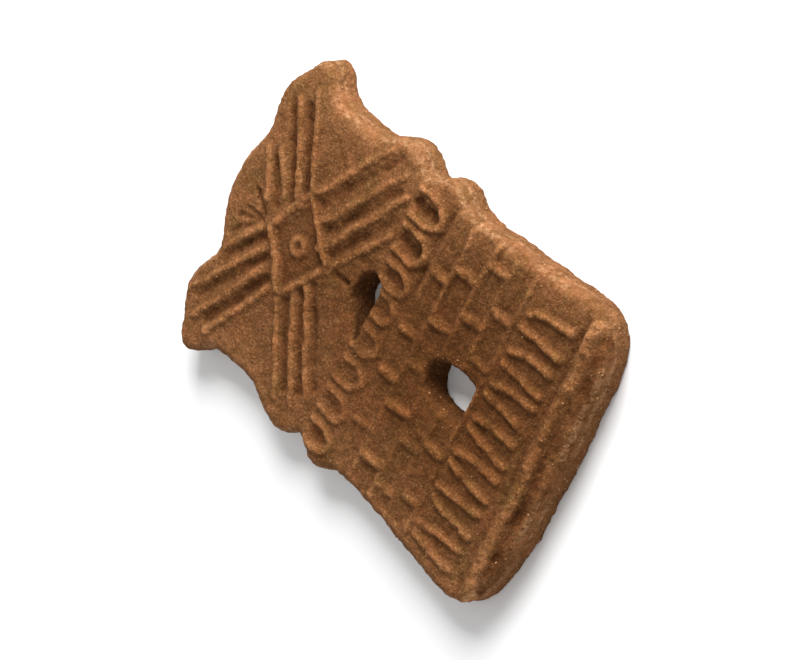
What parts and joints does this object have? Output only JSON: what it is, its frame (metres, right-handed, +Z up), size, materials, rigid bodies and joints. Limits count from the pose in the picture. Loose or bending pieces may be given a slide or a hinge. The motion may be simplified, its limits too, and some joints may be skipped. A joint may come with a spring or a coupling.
{
  "type": "speculoos cookie",
  "caption": "Flat spiced biscuit in the shape of a windmill, with sails, a gallery, brickwork and a petal border in relief, and two openings right through it.",
  "frame": {"origin": "middle of the bounding box of the underside", "axes": "+Z up out of the pressed face, +Y up the mill from its foot to its cap, +X to the mill's right as the face is seen"},
  "size_m": [0.0674, 0.0972, 0.0082],
  "materials": {
    "baked_dough": "dry baked biscuit with a fine crumb"
  },
  "bodies": {
    "root": {"cookie": "baked_dough"}
  },
  "joints": []
}
